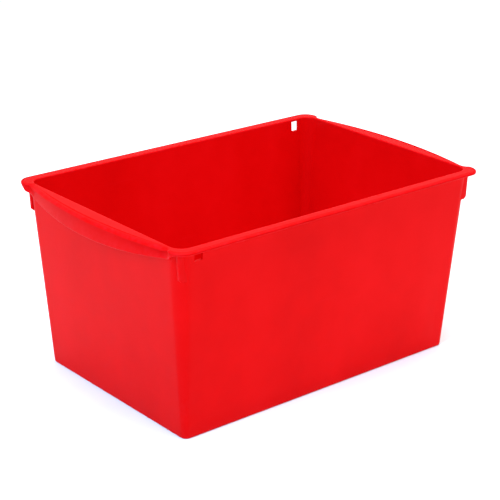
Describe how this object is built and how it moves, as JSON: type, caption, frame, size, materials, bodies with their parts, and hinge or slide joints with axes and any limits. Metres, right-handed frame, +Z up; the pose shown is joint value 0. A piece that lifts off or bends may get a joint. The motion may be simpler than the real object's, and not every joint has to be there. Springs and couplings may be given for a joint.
{
  "type": "book bin",
  "caption": "Open-top tapered plastic tub that holds books upright on a library shelf, with a flat rim, a bowed finger grip across each end and stacking lugs.",
  "frame": {"origin": "middle of the face that the bin stands on", "axes": "+X along the long side, from the left grip to the right grip; +Y across the bin, from the near long side to the far one; +Z up"},
  "size_m": [0.37, 0.243, 0.178],
  "materials": {
    "moulded_plastic": "satin injection-moulded polypropylene, red"
  },
  "bodies": {
    "root": {"floor_panel": "moulded_plastic", "near_side_wall": "moulded_plastic", "near_side_rim": "moulded_plastic", "far_side_wall": "moulded_plastic", "far_side_rim": "moulded_plastic", "left_end_wall": "moulded_plastic", "left_end_grip": "moulded_plastic", "right_end_wall": "moulded_plastic", "right_end_grip": "moulded_plastic", "near_left_corner": "moulded_plastic", "near_right_corner": "moulded_plastic", "far_left_corner": "moulded_plastic", "far_right_corner": "moulded_plastic"}
  },
  "joints": []
}
